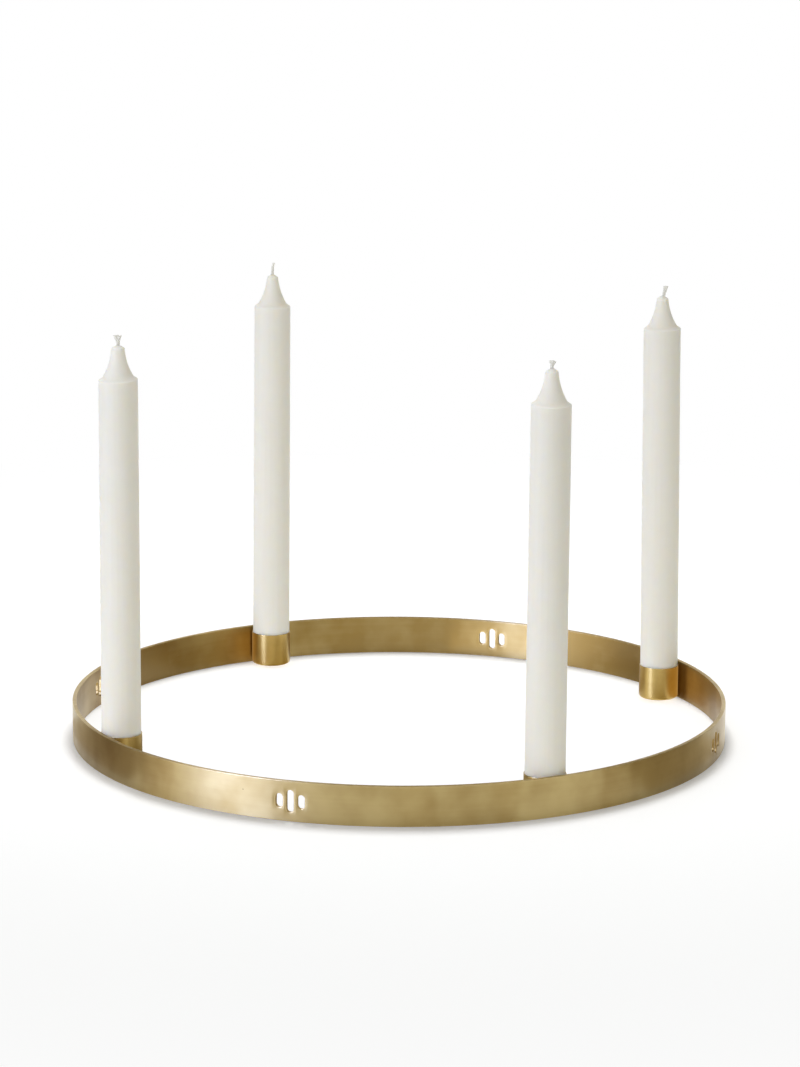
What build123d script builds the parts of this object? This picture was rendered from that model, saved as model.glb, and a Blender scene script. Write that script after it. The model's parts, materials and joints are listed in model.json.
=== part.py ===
from build123d import *
from dataclasses import dataclass
import math
import os

# Advent candle holder: a brass hoop that stands on its edge, four candle cups soldered inside it,
# and a candle with a moulded crown in each cup. Millimetres, +Z up. The origin is the middle of the
# hoop, on the surface that it stands on.

# The hoop is flat strip, rolled on edge and closed into a ring
RING_OUTER_DIAMETER = 375.0
BAND_HEIGHT = 22.4
BAND_THICKNESS = 2.4
BAND_EDGE_RADIUS = 0.3

# Half way between two cups, a long slot is cut through the band with a short one on each side
SLOT_WIDTH = 4.3
SLOT_WEB = 1.85
LONG_SLOT_LENGTH = 12.7
SHORT_SLOT_LENGTH = 8.0

# The candle is widest where it leaves the cup, narrows to its foot and tapers up to its shoulder
CANDLE_DIAMETER = 22.2
CANDLE_LENGTH = 239.0
BODY_TAPER = 0.6
FOOT_TAPER = 0.8
FOOT_CHAMFER = 1.2

# The crown is a lip on the shoulder, a hollow cone up to the neck and a low dome round the wick
CROWN_HEIGHT = 18.6
LIP_WIDTH = 2.3
LIP_RISE = 1.6
LIP_RADIUS = 0.8
CROWN_HOLLOW = 1.0
NECK_DIAMETER = 6.7
DOME_HEIGHT = 1.2
DOME_BULGE = 0.35

# The wick runs the whole length of the candle, and its free end is flattened and sways to one side
WICK_DIAMETER = 1.8
WICK_WAIST = 1.5
WICK_WAIST_HEIGHT = 2.6
WICK_TIP_THICKNESS = 1.3
WICK_FACING = 18.0

# The cups are drawn from thin sheet and stand a little inside both edges of the band
CUP_INSET = 1.45
CUP_WALL = 0.4
CUP_FLOOR = 0.8
CUP_BOTTOM_RADIUS = 1.5
CUP_RIM_RADIUS = 0.12
CANDLE_CLEARANCE = 0.1
SEAT_CLEARANCE = 0.05

# A film of solder fills the gap between cup and band, and the narrow wedge on each side of it
SOLDER_GAP = 0.1
SOLDER_WIDTH = 6.4
SOLDER_INSET = 0.6


@dataclass
class Candle:
    """What is particular to one candle and its cup. Angles are in degrees, from +X towards +Y."""

    angle: float
    lean: float
    lean_towards: float
    trim: float
    wick_height: float
    wick_sway: float
    wick_tip: float


# The angle is the cup's place round the hoop, and the trim is what the candle was cut longer than usual
CANDLES = [
    Candle(45, lean=0.56, lean_towards=198, trim=0.7, wick_height=7.0, wick_sway=1.8, wick_tip=2.7),
    Candle(135, lean=0.32, lean_towards=18, trim=0.0, wick_height=8.2, wick_sway=1.3, wick_tip=1.9),
    Candle(225, lean=0.07, lean_towards=18, trim=-2.1, wick_height=6.6, wick_sway=-0.3, wick_tip=4.8),
    Candle(315, lean=0.20, lean_towards=18, trim=0.0, wick_height=5.3, wick_sway=-0.6, wick_tip=3.8),
]

ring_outer_radius = RING_OUTER_DIAMETER / 2
ring_inner_radius = ring_outer_radius - BAND_THICKNESS
band_middle_radius = ring_outer_radius - BAND_THICKNESS / 2
slot_step = math.degrees((SLOT_WIDTH + SLOT_WEB) / band_middle_radius)
half_cup_spacing = 360 / len(CANDLES) / 2

candle_radius = CANDLE_DIAMETER / 2
shoulder_radius = candle_radius - BODY_TAPER / 2
foot_radius = candle_radius - FOOT_TAPER / 2
neck_radius = NECK_DIAMETER / 2
wick_radius = WICK_DIAMETER / 2

cup_bore_radius = candle_radius + CANDLE_CLEARANCE
cup_outer_radius = cup_bore_radius + CUP_WALL
cup_circle_radius = ring_inner_radius - SOLDER_GAP - cup_outer_radius
cup_height = BAND_HEIGHT - 2 * CUP_INSET
cup_floor_height = CUP_INSET + CUP_FLOOR
cup_rim_height = CUP_INSET + cup_height
cup_inner_corner_radius = CUP_BOTTOM_RADIUS - CUP_WALL
solder_base_height = CUP_INSET + CUP_BOTTOM_RADIUS
solder_length = cup_rim_height - SOLDER_INSET - solder_base_height


def level_direction(angle):
    """Horizontal unit vector at an angle from +X."""
    return Vector(1, 0, 0).rotate(Axis.Z, angle)


def slot_plane(angle):
    """Plane square to the band at an angle round the hoop, half way up and through its wall."""
    outward = level_direction(angle)
    middle = outward * band_middle_radius + Vector(0, 0, BAND_HEIGHT / 2)
    return Plane(middle, x_dir=level_direction(angle + 90), z_dir=outward)


def cup_plane(angle, height):
    """Level plane on a cup's axis, with X pointing out at the band."""
    outward = level_direction(angle)
    return Plane(outward * cup_circle_radius + Vector(0, 0, height), x_dir=outward)


def candle_plane(candle):
    """Plane of a candle's foot. The candle leans about the middle of the rim, and its foot's lowest edge
    stands clear of the cup's floor."""
    lean = math.radians(candle.lean)
    up = Vector(0, 0, 1) * math.cos(lean) + level_direction(candle.lean_towards) * math.sin(lean)
    rim_middle = level_direction(candle.angle) * cup_circle_radius + Vector(0, 0, cup_rim_height)
    foot_height = cup_floor_height + SEAT_CLEARANCE + foot_radius * math.sin(lean)
    depth = (cup_rim_height - foot_height) / math.cos(lean)
    return Plane(rim_middle - up * depth, x_dir=level_direction(WICK_FACING), z_dir=up), depth


os.makedirs("parts", exist_ok=True)

# The hoop, with its edges eased and a group of slots half way between each two cups
with BuildPart() as ring_band:
    with BuildSketch():
        Circle(ring_outer_radius)
        Circle(ring_inner_radius, mode=Mode.SUBTRACT)
    extrude(amount=BAND_HEIGHT)
    fillet(ring_band.edges().filter_by(GeomType.CIRCLE), BAND_EDGE_RADIUS)
    for candle in CANDLES:
        for step, slot_length in ((-1, SHORT_SLOT_LENGTH), (0, LONG_SLOT_LENGTH), (1, SHORT_SLOT_LENGTH)):
            slot_angle = candle.angle - half_cup_spacing + step * slot_step
            with BuildSketch(slot_plane(slot_angle)):
                SlotOverall(slot_length, SLOT_WIDTH, rotation=90)
            extrude(amount=BAND_THICKNESS, both=True, mode=Mode.SUBTRACT)
ring_band.part.label = "ring_band"
export_step(ring_band.part, "parts/ring_band.step")

for number, candle in enumerate(CANDLES, start=1):
    # The cup: a thin-walled thimble with a rounded bottom edge and an eased rim
    with BuildPart() as candle_cup:
        with BuildSketch(cup_plane(candle.angle, CUP_INSET)):
            Circle(cup_outer_radius)
        extrude(amount=cup_height)
        fillet(candle_cup.edges().group_by(Axis.Z)[0], CUP_BOTTOM_RADIUS)
        with BuildSketch(cup_plane(candle.angle, cup_floor_height)):
            Circle(cup_bore_radius)
        extrude(amount=cup_height, mode=Mode.SUBTRACT)
        fillet(candle_cup.edges(Select.LAST).group_by(Axis.Z)[0], cup_inner_corner_radius)
        fillet(candle_cup.edges().group_by(Axis.Z)[-1], CUP_RIM_RADIUS)
    candle_cup.part.label = f"candle_cup_{number}"
    export_step(candle_cup.part, f"parts/candle_cup_{number}.step")

    # The solder: what lies between the cup's wall and the band's inner face, over a set width
    with BuildPart() as cup_solder:
        with BuildSketch(Plane((0, 0, solder_base_height), x_dir=level_direction(candle.angle))):
            Circle(ring_inner_radius)
            with Locations((cup_circle_radius, 0)):
                Circle(cup_outer_radius, mode=Mode.SUBTRACT)
                Rectangle(
                    2 * cup_outer_radius,
                    SOLDER_WIDTH,
                    align=(Align.MIN, Align.CENTER),
                    mode=Mode.INTERSECT,
                )
        extrude(amount=solder_length)
    cup_solder.part.label = f"cup_solder_{number}"
    export_step(cup_solder.part, f"parts/cup_solder_{number}.step")

    # The wax: one turned profile, drawn from the foot at the wick's bore up to the top of the dome
    foot_plane, cup_depth = candle_plane(candle)
    candle_axis = Axis(foot_plane.origin, foot_plane.z_dir)
    candle_length = CANDLE_LENGTH + candle.trim
    shoulder_height = candle_length - CROWN_HEIGHT
    lip_edge = (shoulder_radius, shoulder_height)
    lip_inner = (shoulder_radius - LIP_WIDTH, shoulder_height + LIP_RISE)
    neck_corner = (neck_radius, candle_length - DOME_HEIGHT)
    dome_top = (wick_radius, candle_length)
    with BuildPart() as candle_wax:
        with BuildSketch(Plane(foot_plane.origin, foot_plane.x_dir, -foot_plane.y_dir)) as half_profile:
            with BuildLine():
                Polyline(
                    dome_top,
                    (wick_radius, 0),
                    (foot_radius - FOOT_CHAMFER, 0),
                    (foot_radius, FOOT_CHAMFER),
                    (candle_radius, cup_depth),
                    lip_edge,
                    lip_inner,
                )
                SagittaArc(lip_inner, neck_corner, CROWN_HOLLOW)
                SagittaArc(neck_corner, dome_top, -DOME_BULGE)
            make_face()
            fillet(half_profile.vertices().sort_by_distance(lip_edge)[0], LIP_RADIUS)
        revolve(axis=candle_axis)
    candle_wax.part.label = f"candle_{number}"
    export_step(candle_wax.part, f"parts/candle_{number}.step")

    # The wick: a round core through the wax, then a free end that narrows, flattens and sways
    with BuildPart() as wick:
        with BuildSketch(foot_plane):
            Circle(wick_radius)
        extrude(amount=candle_length)
        with BuildSketch(foot_plane.offset(candle_length)):
            Circle(wick_radius)
        with BuildSketch(foot_plane.offset(candle_length + WICK_WAIST_HEIGHT)):
            with Locations((candle.wick_sway * WICK_WAIST_HEIGHT / candle.wick_height, 0)):
                Ellipse(WICK_WAIST / 2, WICK_TIP_THICKNESS / 2)
        with BuildSketch(foot_plane.offset(candle_length + candle.wick_height)):
            with Locations((candle.wick_sway, 0)):
                Ellipse(candle.wick_tip / 2, WICK_TIP_THICKNESS / 2)
        loft()
    wick.part.label = f"wick_{number}"
    export_step(wick.part, f"parts/wick_{number}.step")
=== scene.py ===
# %% [markdown]
# # An advent candle hoop in brushed brass
#
# The object is a flat brass strip, rolled on edge and closed into a hoop that stands on a table. Four
# drawn cups are soldered inside it, and a white candle with a moulded crown stands in each cup. The
# packed CAD model is the frame of this lesson: its nodes say where every piece is and how large it is.
# Blender adds what CAD leaves plain, which is eased edges, fine meshes and the finish of each surface.
# All is in metres, in the CAD model's own frame, so no piece has to be placed by eye.

# %% Load the packed model
import json
import math
import random
from dataclasses import dataclass

import bmesh
import bpy
import numpy as np
from mathutils import Matrix, Vector, noise


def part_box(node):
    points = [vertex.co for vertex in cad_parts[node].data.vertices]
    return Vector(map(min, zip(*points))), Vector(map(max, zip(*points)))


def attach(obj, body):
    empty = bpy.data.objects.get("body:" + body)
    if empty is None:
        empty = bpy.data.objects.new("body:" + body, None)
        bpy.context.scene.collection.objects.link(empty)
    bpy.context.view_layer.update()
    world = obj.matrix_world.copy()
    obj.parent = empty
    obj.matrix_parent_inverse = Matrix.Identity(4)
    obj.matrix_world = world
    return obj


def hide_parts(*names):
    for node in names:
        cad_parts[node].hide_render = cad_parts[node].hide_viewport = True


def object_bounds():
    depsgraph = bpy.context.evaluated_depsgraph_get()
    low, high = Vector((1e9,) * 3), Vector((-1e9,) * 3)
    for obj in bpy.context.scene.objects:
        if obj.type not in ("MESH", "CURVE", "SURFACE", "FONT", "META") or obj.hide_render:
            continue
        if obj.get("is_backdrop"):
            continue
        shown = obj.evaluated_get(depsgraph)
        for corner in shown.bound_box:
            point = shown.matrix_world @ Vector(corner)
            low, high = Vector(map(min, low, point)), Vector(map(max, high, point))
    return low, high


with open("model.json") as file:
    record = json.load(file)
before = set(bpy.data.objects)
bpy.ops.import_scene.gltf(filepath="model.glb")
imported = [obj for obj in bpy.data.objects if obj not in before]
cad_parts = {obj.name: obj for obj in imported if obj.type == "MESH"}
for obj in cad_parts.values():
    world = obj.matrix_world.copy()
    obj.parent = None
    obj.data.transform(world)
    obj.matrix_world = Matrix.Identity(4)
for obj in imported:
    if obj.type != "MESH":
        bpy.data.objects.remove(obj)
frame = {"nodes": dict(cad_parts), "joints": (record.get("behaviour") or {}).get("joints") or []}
cad_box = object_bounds()
MM = 0.001
box_in_mm = [tuple(round(x / MM, 1) for x in corner) for corner in cad_box]
print("CAD nodes:", len(frame["nodes"]), "box:", box_in_mm)

# %% [markdown]
# ## Measuring the frame
#
# A finer mesh of a CAD piece must have the same sizes. They could be typed in again, but then the two
# models could drift apart. Here they are read from the vertices of the CAD nodes: a cylinder's vertices
# lie on its true circle, so the largest and smallest distance from the axis are the two radii of the
# hoop.


# %% Measure the hoop
def node_points(node):
    """The vertices of a CAD node, one row each."""
    return np.array([vertex.co[:] for vertex in frame["nodes"][node].data.vertices])


hoop_points = node_points("ring_band")
hoop_reach = np.hypot(hoop_points[:, 0], hoop_points[:, 1])
OUTER_RADIUS = float(hoop_reach.max())
INNER_RADIUS = float(hoop_reach.min())
MIDDLE_RADIUS = (OUTER_RADIUS + INNER_RADIUS) / 2
BAND_HEIGHT = float(hoop_points[:, 2].max())
QUARTER = MIDDLE_RADIUS * math.pi / 2
print(f"hoop: {2 * OUTER_RADIUS / MM:.1f} mm across, {BAND_HEIGHT / MM:.1f} mm high")

# %% [markdown]
# Between the two edges of the band only the slots have vertices. One group of slots faces +X, so there
# the distance from the X axis sorts the long slot in the middle from the short ones beside it.

# %% Measure the slots
RIM_MARGIN = 2 * MM
GROUP_REACH = 12 * MM
LONG_SLOT_REACH = 3 * MM
in_group = (hoop_points[:, 0] > 0) & (np.abs(hoop_points[:, 1]) < GROUP_REACH)
off_the_rims = np.abs(hoop_points[:, 2] - BAND_HEIGHT / 2) < BAND_HEIGHT / 2 - RIM_MARGIN
group_points = hoop_points[in_group & off_the_rims]
in_long_slot = np.abs(group_points[:, 1]) < LONG_SLOT_REACH
SLOT_WIDTH = 2 * float(np.abs(group_points[in_long_slot, 1]).max())
LONG_SLOT = float(np.ptp(group_points[in_long_slot, 2]))
SHORT_SLOT = float(np.ptp(group_points[~in_long_slot, 2]))
group_arcs = np.arctan2(group_points[:, 1], group_points[:, 0]) * MIDDLE_RADIUS
side_arcs = group_arcs[group_arcs > LONG_SLOT_REACH]
SLOT_PITCH = float(side_arcs.min() + side_arcs.max()) / 2
SLOTS = ((-SLOT_PITCH, SHORT_SLOT), (0.0, LONG_SLOT), (SLOT_PITCH, SHORT_SLOT))
print(f"slots: {SLOT_WIDTH / MM:.2f} wide, {LONG_SLOT / MM:.1f} and {SHORT_SLOT / MM:.1f} long")

# %% [markdown]
# A candle stands in its cup with a little play, so it leans by a fraction of a degree. Its joint in the
# record slides along that leaning axis, which makes the joint the best place to read the lean from.

# %% Measure the cups and candles
AXIS_MARGIN = 0.05 * MM


@dataclass
class Place:
    """One cup and its candle: heights of the cup from the table, and the candle along its own axis."""

    number: int
    rim_middle: Vector
    cup_base: float
    cup_floor: float
    cup_radius: float
    bore_radius: float
    axis: Vector
    foot: Vector
    wax_length: float
    wax_radius: float


def measure_place(number):
    """Reads one place off the CAD nodes and the candle's joint."""
    low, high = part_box(f"candle_cup_{number}")
    rim_middle = Vector(((low.x + high.x) / 2, (low.y + high.y) / 2, high.z))
    cup = node_points(f"candle_cup_{number}") - np.array(rim_middle)
    cup_reach = np.hypot(cup[:, 0], cup[:, 1])
    upper_half = cup[:, 2] > (low.z - high.z) / 2
    on_floor = cup_reach < cup_reach.min() + AXIS_MARGIN
    joint = next(j for j in frame["joints"] if j["child"] == f"candle_{number}_body")
    axis = Vector(joint["axis"]).normalized()
    wax = node_points(f"candle_{number}") - np.array(rim_middle)
    along = wax @ np.array(axis)
    wax_reach = np.linalg.norm(wax - np.outer(along, axis), axis=1)
    return Place(
        number=number,
        rim_middle=rim_middle,
        cup_base=low.z,
        cup_floor=high.z + float(cup[on_floor, 2].max()),
        cup_radius=float(cup_reach.max()),
        bore_radius=float(cup_reach[upper_half].min()),
        axis=axis,
        foot=rim_middle + axis * float(along.min()),
        wax_length=float(np.ptp(along)),
        wax_radius=float(wax_reach.max()),
    )


places = [measure_place(number) for number in (1, 2, 3, 4)]
for place in places:
    lean = math.degrees(place.axis.angle(Vector((0, 0, 1))))
    print(f"candle {place.number}: {place.wax_length / MM:.1f} mm of wax, leaning {lean:.2f} degrees")

# %% [markdown]
# ## The camera
#
# The view was worked out from the ellipses of the hoop's rims and from the four cups: the camera stands
# 18 degrees round from the front, looks down by about 13 degrees and has a long lens, as in a product
# picture. A constraint could aim it at the hoop, but a matrix of plain turns shows each angle by itself.

# %% Set up the camera
CAMERA_TURN = math.radians(18)
CAMERA_DISTANCE = 2.2189
CAMERA_HEIGHT = 0.61875
CAMERA_TILT = math.radians(12.727)
CAMERA_ROLL = math.radians(0.309)
LENS_LENGTH = 134.5
SENSOR_WIDTH = 36
VIEW_DEPTH = 100
scene = bpy.context.scene
camera = bpy.data.objects.new("studio_camera", bpy.data.cameras.new("studio_camera"))
scene.collection.objects.link(camera)
camera.data.lens = LENS_LENGTH
camera.data.sensor_width = SENSOR_WIDTH
camera.data.clip_end = VIEW_DEPTH
camera.matrix_world = (
    Matrix.Rotation(CAMERA_TURN, 4, "Z")
    @ Matrix.Translation((0, -CAMERA_DISTANCE, CAMERA_HEIGHT))
    @ Matrix.Rotation(math.pi / 2 - CAMERA_TILT, 4, "X")
    @ Matrix.Rotation(CAMERA_ROLL, 4, "Z")
)
scene.camera = camera
scene.view_settings.view_transform = "Standard"
print("camera at", [round(x, 3) for x in camera.matrix_world.translation])

# %% [markdown]
# ## A short way to write node trees
#
# Materials here are node trees written in code. Adding a node, setting its values and wiring it takes
# several lines each time, so a small bench class does it in one: a value that is a socket gets wired, and
# anything else is set as the socket's own number or colour.


# %% Node bench
class NodeBench:
    """A shader node tree with short ways to add and wire nodes."""

    def __init__(self, tree):
        self.tree = tree

    def wire(self, value, socket):
        """Links another socket to this one, or sets a plain value on it."""
        if isinstance(value, bpy.types.NodeSocket):
            self.tree.links.new(value, socket)
        else:
            socket.default_value = value

    def add(self, kind, inputs=None, **settings):
        """A node with its settings and its inputs."""
        node = self.tree.nodes.new(f"ShaderNode{kind}")
        for name, value in settings.items():
            setattr(node, name, value)
        for name, value in (inputs or {}).items():
            self.wire(value, node.inputs[name])
        return node

    def math(self, operation, *values):
        """One step of arithmetic."""
        node = self.add("Math", operation=operation)
        for value, socket in zip(values, node.inputs):
            self.wire(value, socket)
        return node.outputs["Value"]

    def total(self, start, *shares):
        """A sum that begins with start and adds each value times its weight."""
        for value, weight in shares:
            start = self.math("MULTIPLY_ADD", value, weight, start)
        return start

    def vector(self, x, y, z):
        """A vector from its three parts."""
        return self.add("CombineXYZ", {"X": x, "Y": y, "Z": z}).outputs["Vector"]

    def stretch(self, vector, x, y, z):
        """A vector with each axis scaled by its own number."""
        inputs = {0: vector, 1: self.vector(x, y, z)}
        return self.add("VectorMath", inputs, operation="MULTIPLY").outputs["Vector"]

    def noise(self, vector, scale, detail=2.0, roughness=0.5):
        """Noise between 0 and 1, mostly near a half."""
        inputs = {"Vector": vector, "Scale": scale, "Detail": detail, "Roughness": roughness}
        return self.add("TexNoise", inputs).outputs["Fac"]

    def ease(self, value, low, high, start=0.0, end=1.0):
        """A smooth step from start to end while the value goes from low to high."""
        inputs = {"Value": value, "From Min": low, "From Max": high, "To Min": start, "To Max": end}
        return self.add("MapRange", inputs, interpolation_type="SMOOTHSTEP").outputs["Result"]

    def mix(self, share, first, second):
        """A colour between two others."""
        node = self.add("Mix", data_type="RGBA")
        for value, index in ((share, 0), (first, 6), (second, 7)):
            self.wire(value, node.inputs[index])
        return node.outputs[2]

    def here(self):
        """The place of the point in the object's own space."""
        return self.add("TexCoord").outputs["Object"]

    def attribute(self, name):
        """A number that the mesh carries at each of its points."""
        return self.add("Attribute", attribute_name=name).outputs["Fac"]

    def bump(self, height, strength=1.0, distance=1.0):
        """Normals that are bent by a height."""
        inputs = {"Strength": strength, "Distance": distance, "Height": height}
        return self.add("Bump", inputs).outputs["Normal"]

    def show(self, shader):
        """Makes a shader the surface of the material."""
        self.add("OutputMaterial", {"Surface": shader.outputs[0]})


def rgb(red, green, blue):
    """A colour for a socket, from linear light."""
    return (red, green, blue, 1.0)


def new_material(name):
    """An empty material and its bench."""
    material = bpy.data.materials.new(name)
    material.use_nodes = True
    material.node_tree.nodes.clear()
    return material, NodeBench(material.node_tree)


tools = [name for name in vars(NodeBench) if not name.startswith("_")]
print("bench tools:", ", ".join(tools))

# %% [markdown]
# ## The studio
#
# Metal mostly shows the room that it mirrors, and here that is a white one. A picture of a studio could be
# wrapped round the scene, but a plain room needs none. The background has to be white to the camera
# without flooding the object with light. So the room shines at strength 1 only for the rays that show it:
# from the camera, off metal or through glass. Other rays see a calm and slightly warm half of that, which
# fills the shaded sides of the candles.

# %% White room
ROOM_LIGHT = 0.50
CALM_COLOUR = rgb(1, 0.965, 0.80)


def seen_directly(bench):
    """1 for the rays that show the background: from the camera, off metal or through glass."""
    path = bench.add("LightPath")
    shown = bench.math("MAXIMUM", path.outputs["Is Camera Ray"], path.outputs["Is Glossy Ray"])
    return bench.math("MAXIMUM", shown, path.outputs["Is Transmission Ray"])


world = bpy.data.worlds.new("white_room")
world.use_nodes = True
world.node_tree.nodes.clear()
bench = NodeBench(world.node_tree)
white = bench.add("Background", {"Color": rgb(1, 1, 1), "Strength": 1.0})
calm = bench.add("Background", {"Color": CALM_COLOUR, "Strength": ROOM_LIGHT})
room = bench.add("MixShader", {0: seen_directly(bench), 1: calm.outputs[0], 2: white.outputs[0]})
bench.add("OutputWorld", {"Surface": room.outputs[0]})
scene.world = world
print("room light for the object:", ROOM_LIGHT)

# %% [markdown]
# The table has to be pure white in the picture and still carry the hoop's shadow. Paint alone is never
# evenly white, and a glow alone takes no shadow. So the table is painted round the hoop, and farther out
# the paint gives way to a white glow. The paint is a little blue, while the room and the table's lamp are
# a little yellow: together they come out neutral, both in the light and in the shadow.

# %% Table top
TABLE_REACH = 14.0
TABLE_NEAR = 0.24
TABLE_MIDWAY = 0.8
TABLE_FAR = 2.0
GLOW_BY_HOOP = 0.12
TABLE_PAINT = rgb(0.77, 0.80, 0.94)
table_material, bench = new_material("white_table")
from_middle = bench.add("VectorMath", {0: bench.here()}, operation="LENGTH").outputs["Value"]
glow_rise = bench.ease(from_middle, TABLE_NEAR, TABLE_MIDWAY, GLOW_BY_HOOP, 1.0)
glow = bench.math("MULTIPLY", seen_directly(bench), glow_rise)
from_camera = bench.add("LightPath").outputs["Is Camera Ray"]
fade_in_view = bench.math("MULTIPLY", from_camera, bench.ease(from_middle, TABLE_NEAR, TABLE_MIDWAY))
fade = bench.math("MAXIMUM", bench.ease(from_middle, TABLE_MIDWAY, TABLE_FAR), fade_in_view)
paint = bench.add("BsdfDiffuse", {"Color": bench.mix(fade, TABLE_PAINT, rgb(0, 0, 0))})
shine = bench.add("Emission", {"Color": rgb(1, 1, 1), "Strength": glow})
bench.show(bench.add("AddShader", {0: paint.outputs[0], 1: shine.outputs[0]}))
table_mesh = bpy.data.meshes.new("table_top")
table_corners = [(x * TABLE_REACH, y * TABLE_REACH, 0) for x, y in ((-1, -1), (1, -1), (1, 1), (-1, 1))]
table_mesh.from_pydata(table_corners, [], [(0, 1, 2, 3)])
table_mesh.materials.append(table_material)
table_top = bpy.data.objects.new("table_top", table_mesh)
scene.collection.objects.link(table_top)
table_top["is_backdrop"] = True
print("table top:", 2 * TABLE_REACH, "m wide")

# %% [markdown]
# ## What the brass mirrors
#
# A photographer puts cards round bright metal and chooses what it mirrors that way. Lamps could be
# mirrored too, but cards can be shaped and toned one by one. A turn of 0 is towards the camera and
# positive turns go to the picture's right, so a card is given by the two turns that it spans and by two
# borders, each with a distance from the middle and a height. Only mirror rays see the cards: they neither
# light the wax nor shade the table.

# %% Screens
SCREEN_COLUMNS = 24


def studio_way(turn):
    """Level direction at a turn in degrees. 0 is towards the camera, positive to the picture's right."""
    angle = CAMERA_TURN + math.radians(turn - 90)
    return Vector((math.cos(angle), math.sin(angle), 0))


def studio_place(turn, distance, height):
    """A point of the studio from its turn, its distance from the middle and its height."""
    return studio_way(turn) * distance + Vector((0, 0, height))


def store(mesh, name, values):
    """Keeps one number per vertex, which a material reads as an attribute."""
    values = np.asarray(values, dtype=np.float32)
    mesh.attributes.new(name, "FLOAT", "POINT").data.foreach_set("value", values)


def screen(name, turns, near, far, colour, soft=(0, 0)):
    """A curved card between two (distance, height) borders. It glows in its own colour, and fades out
    over a soft share of its width at the first and at the last turn."""
    material, bench = new_material(name)
    glow = bench.add("Emission", {"Color": colour, "Strength": 1.0})
    clear = bench.add("BsdfTransparent", {"Color": rgb(1, 1, 1)})
    shares = {0: bench.attribute("there"), 1: clear.outputs[0], 2: glow.outputs[0]}
    bench.show(bench.add("MixShader", shares))
    columns = np.linspace(*turns, SCREEN_COLUMNS + 1)
    points = [studio_place(turn, distance, height) for distance, height in (near, far) for turn in columns]
    above = SCREEN_COLUMNS + 1
    faces = [(i, i + 1, i + 1 + above, i + above) for i in range(SCREEN_COLUMNS)]
    mesh = bpy.data.meshes.new(name)
    mesh.from_pydata(points, [], faces)
    mesh.materials.append(material)
    across = np.linspace(0, 1, SCREEN_COLUMNS + 1)
    solid = np.ones_like(across)
    for from_end, share in ((across, soft[0]), (1 - across, soft[1])):
        solid *= np.clip(from_end / share, 0, 1) if share else 1
    store(mesh, "there", np.tile(solid, 2))
    made = bpy.data.objects.new(name, mesh)
    scene.collection.objects.link(made)
    made.visible_camera = False
    made.visible_diffuse = False
    made.visible_shadow = False
    made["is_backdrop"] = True


print("columns in a screen:", SCREEN_COLUMNS)

# %% [markdown]
# Tall screens set the tone of the whole band. A point of the band at some turn mirrors what stands at
# twice that turn: the two dark screens give the brown stretches at both sides, the bright ones the pale
# stretch at the front left. The brushed metal smears its image up and down, so a dark ceiling tones what
# comes from above. The brightest screen is bluish, as daylight is, which turns to a paler gold on brass.

# %% Tall screens
SCREEN_DISTANCE = 1.5
BRIGHTEST_DISTANCE = 1.45
DARK_HEIGHT = 2.6
BRIGHT_HEIGHT = 1.8
CEILING_HEIGHT = 2.7
CEILING_HOLE = 0.01
CEILING_REACH = 1.6
DARK = rgb(0.035, 0.027, 0.015)
DARK_GREY = rgb(0.12, 0.10, 0.07)
BRIGHT = rgb(1.8, 1.8, 1.9)
BRIGHTEST = rgb(5.6, 7.0, 15.0)
tall_screens = (
    ("dark_screen_left", (-139, -94), SCREEN_DISTANCE, DARK_HEIGHT, DARK),
    ("dark_screen_right", (84, 138), SCREEN_DISTANCE, DARK_HEIGHT, DARK),
    ("bright_screen", (-92, -41), SCREEN_DISTANCE, BRIGHT_HEIGHT, BRIGHT),
    ("brightest_screen", (-67, -43), BRIGHTEST_DISTANCE, BRIGHT_HEIGHT, BRIGHTEST),
)
for name, turns, distance, height, colour in tall_screens:
    screen(name, turns, (distance, 0), (distance, height), colour)
ceiling_borders = [(reach, CEILING_HEIGHT) for reach in (CEILING_HOLE, CEILING_REACH)]
screen("dark_ceiling", (-180, 180), *ceiling_borders, DARK_GREY)
print("tall screens:", len(tall_screens), "and a ceiling")

# %% [markdown]
# The camera looks down, so a point of the band also mirrors the table, three to four times as far out as
# it is high. Cards that lie on the table there tone single stretches: tan and brown ones at the sides, a
# pale one for the gleam at the back, brown ones beside the cups and nearly black ones for the walls of
# the slots. A soft end lets one tone run into the next.

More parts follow.
